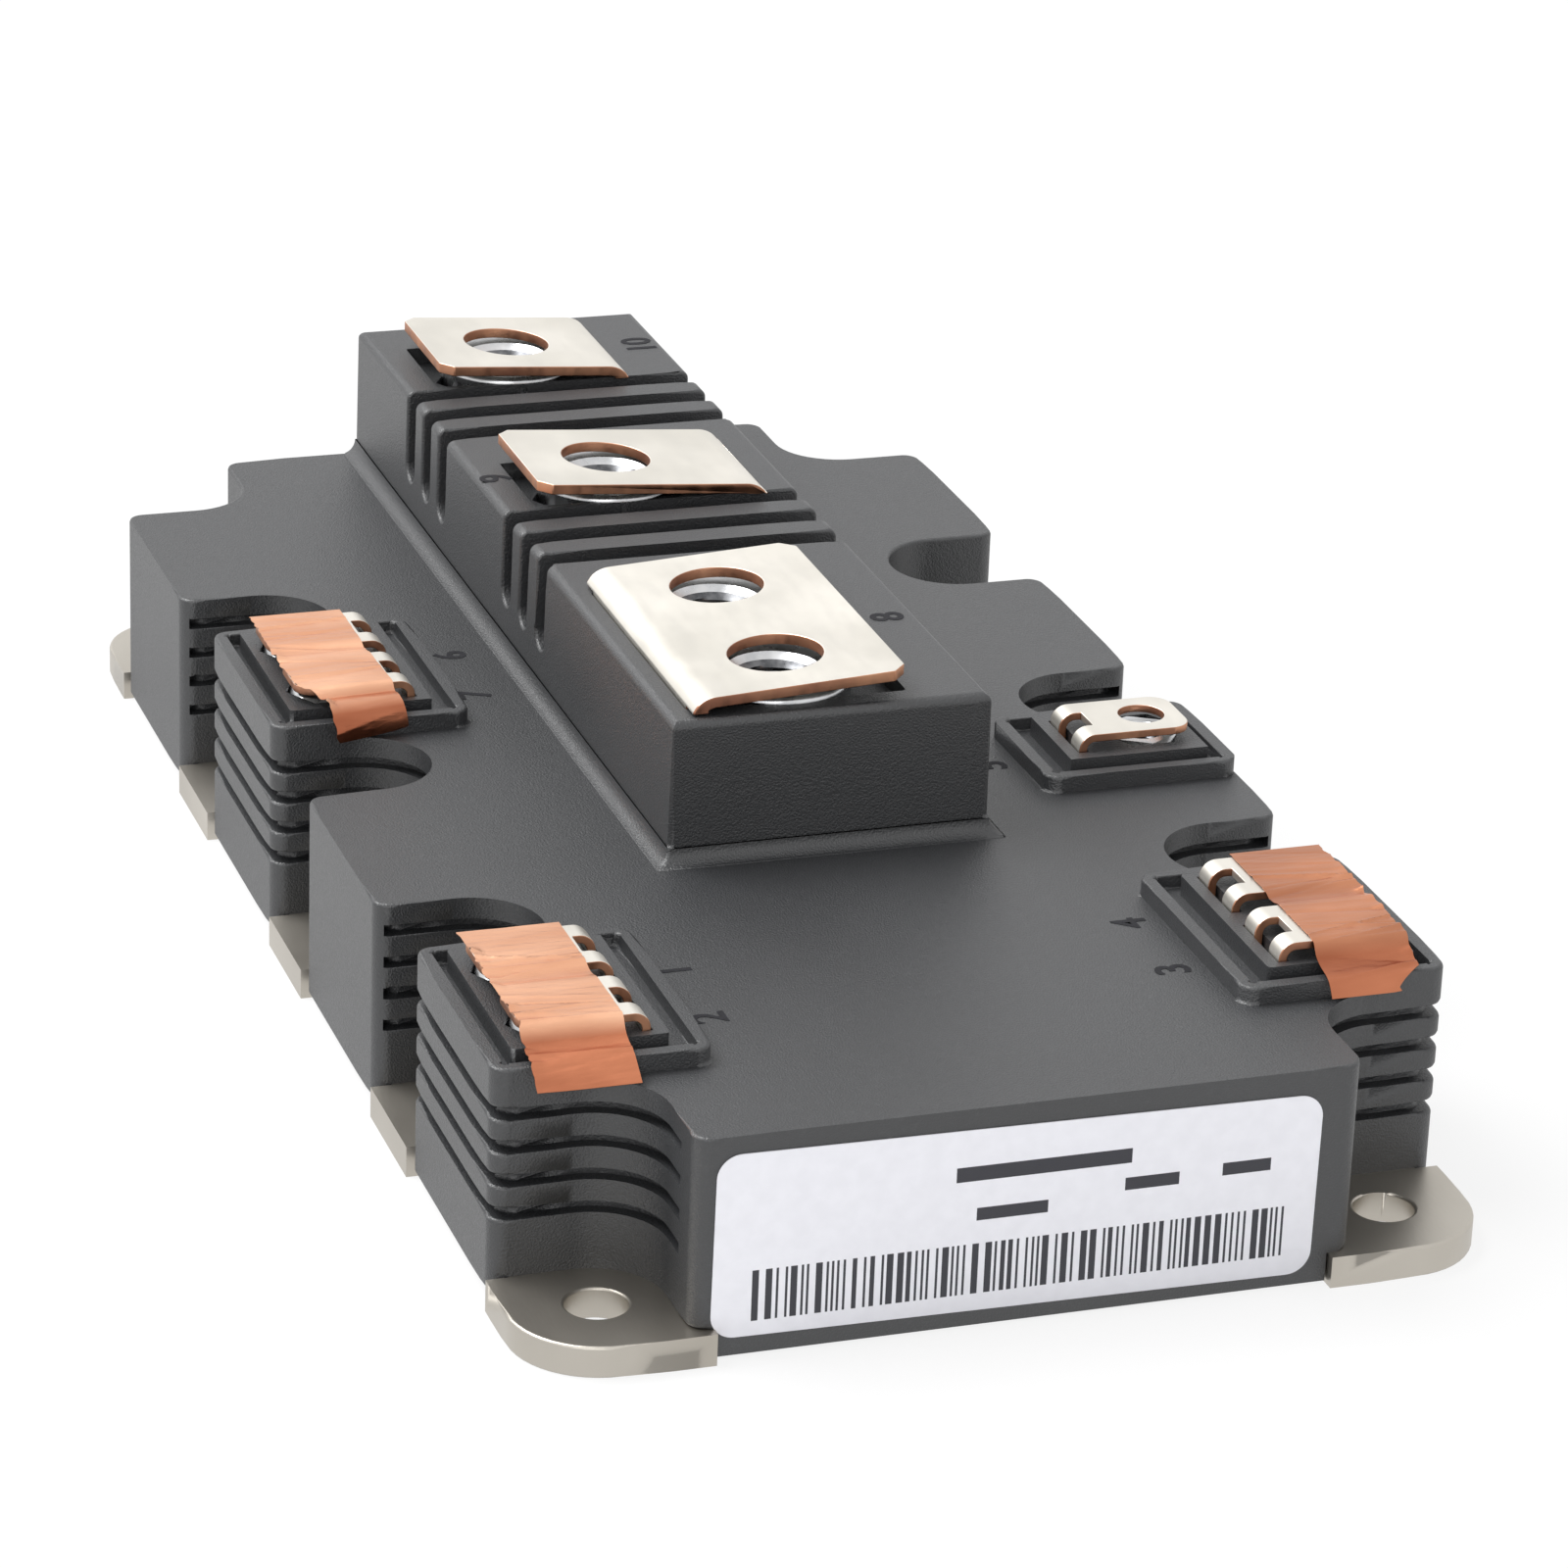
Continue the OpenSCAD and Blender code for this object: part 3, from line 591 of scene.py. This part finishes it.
for x0, x1, z0, z1 in strokes:
    middle, half = (x0 + x1) / 2 * mm, (x1 - x0) / 2 * mm
    level, thick = (z0 + z1) / 2 * mm, (z1 - z0) / 2 * mm
    bar = ((across - (middle + label_x)).size() < half) * ((up - level).size() < thick)
    bars = bar if bars is None else bars + bar
paper = place.noise(600, 3)
feed(shader,
     Base_Color=bars.blend(paper.blend(tint("#f0f0f6"), tint("#f4f4fa")), tint("#3a3a40")),
     Roughness=0.5 + 0.08 * paper,
     Normal=paper.bump(0.04, 0.02 * mm))
add_piece("label_printed", rounded_mesh("label", 0.03 * mm, steps=1), [label_film], "label_film", "label")


# Power stage, sealed in the case: ceramic tiles soldered to the plate, silicon chips with bonded
# aluminium wires, a small sensor, and clear silicone gel poured over them.
def plain_finish(name, dark, light, scale, roughness, **constants):
    material, shader, place = new_finish(name, **constants)
    mask = place.noise(scale, 3)
    feed(shader, Base_Color=mask.blend(tint(dark), tint(light)), Roughness=roughness + 0.1 * mask,
         Normal=mask.bump(0.1, 0.02 * mm))
    return material


inner = {"tile_ceramic": (plain_finish("tile_ceramic", "#cfc8b9", "#e2dccf", 400, 0.5),
                          ["substrates", "temperature_sensor"]),
         "chip_silicon": (plain_finish("chip_silicon", "#4a4d55", "#5f636c", 700, 0.25, Metallic=0.6),
                          ["switch_chips", "diode_chips"]),
         "wire_aluminium": (plain_finish("wire_aluminium", "#c9cacc", "#dcdddf", 900, 0.3, Metallic=1.0),
                            ["bond_wires"]),
         "gel_clear": (plain_finish("gel_clear", "#c8c6bd", "#d8d6cd", 60, 0.12, Alpha=0.35), ["gel_fill"])}
for material, nodes in inner.values():
    for node in nodes:
        mesh = frame["nodes"][node].data
        mesh.materials.clear()
        mesh.materials.append(material)


# Studio: a pale floor that keeps a soft shadow, a white surround, two soft lamps and the camera.
def ray_kinds(tree):
    """Wires that are 1 for a camera ray, for a glossy one and for a transmitted one"""
    outputs = tree.nodes.new("ShaderNodeLightPath").outputs
    return [Wire(outputs[f"Is {kind} Ray"]) for kind in ("Camera", "Glossy", "Transmission")]


floor_paint = bpy.data.materials.new("floor_paint")
floor_paint.use_nodes = True
tree = floor_paint.node_tree
shader = tree.nodes["Principled BSDF"]
shader.inputs["Base Color"].default_value = (0.9, 0.9, 0.9, 1)
shader.inputs["Roughness"].default_value = 0.9
shader.inputs["Specular IOR Level"].default_value = 0.0
straight, glossy, through = ray_kinds(tree)
glow = straight.node("ShaderNodeEmission", inputs={"Color": (1, 1, 1, 1), "Strength": 1.0})
FLOOR_SEEN, FLOOR_HALF = 0.85, 6.0
seen = FLOOR_SEEN * straight + glossy + through
mixed = seen.node("ShaderNodeMixShader", inputs={0: seen, 1: Wire(shader.outputs[0]), 2: glow})
tree.links.new(mixed.socket, tree.nodes["Material Output"].inputs["Surface"])
corners = [(x * FLOOR_HALF, y * FLOOR_HALF, cad_low.z) for x, y in ((-1, -1), (1, -1), (1, 1), (-1, 1))]
floor_mesh = bpy.data.meshes.new("floor")
floor_mesh.from_pydata(corners, [], [(0, 1, 2, 3)])
floor_mesh.materials.append(floor_paint)
floor = bpy.data.objects.new("floor", floor_mesh)
scene.collection.objects.link(floor)

world = bpy.data.worlds.new("surround")
scene.world = world
world.use_nodes = True
tree = world.node_tree
back = tree.nodes["Background"]
AMBIENT = 0.42
straight, glossy, through = ray_kinds(tree)
seen = straight.math("MINIMUM", straight + glossy + through, 1.0)
tree.links.new((AMBIENT + (1 - AMBIENT) * seen).socket, back.inputs["Strength"])
back.inputs["Color"].default_value = (1, 1, 1, 1)

for name, at, width, power in (("key_lamp", (-0.6, 0.35, 1.0), 0.8, 18.5),
                               ("fill_lamp", (-0.4, -0.9, 0.5), 0.6, 2.2)):
    lamp = bpy.data.lights.new(name, "AREA")
    lamp.size = width
    lamp.energy = power
    holder = bpy.data.objects.new(name, lamp)
    holder.location = at
    holder.rotation_euler = (-Vector(at)).to_track_quat("-Z", "Y").to_euler()
    scene.collection.objects.link(holder)

# The camera looks down on the module from the front left with a long lens, rolled by two degrees
SENSOR, FOCAL_PIXELS, FRAME_PIXELS = 36.0, 6031.1, 1600
camera = bpy.data.objects.new("camera", bpy.data.cameras.new("camera"))
camera.data.sensor_width = SENSOR
camera.data.lens = FOCAL_PIXELS / FRAME_PIXELS * SENSOR
camera.data.clip_start = 0.01
sight = Vector((0.30205, 0.87054, -0.38849))
camera.matrix_world = (Matrix.Translation((-0.16931, -0.50431, 0.23974))
                       @ sight.to_track_quat("-Z", "Y").to_matrix().to_4x4()
                       @ Matrix.Rotation(math.radians(2.21), 4, "Z"))
scene.collection.objects.link(camera)
scene.camera = camera
scene.view_settings.view_transform = "Standard"
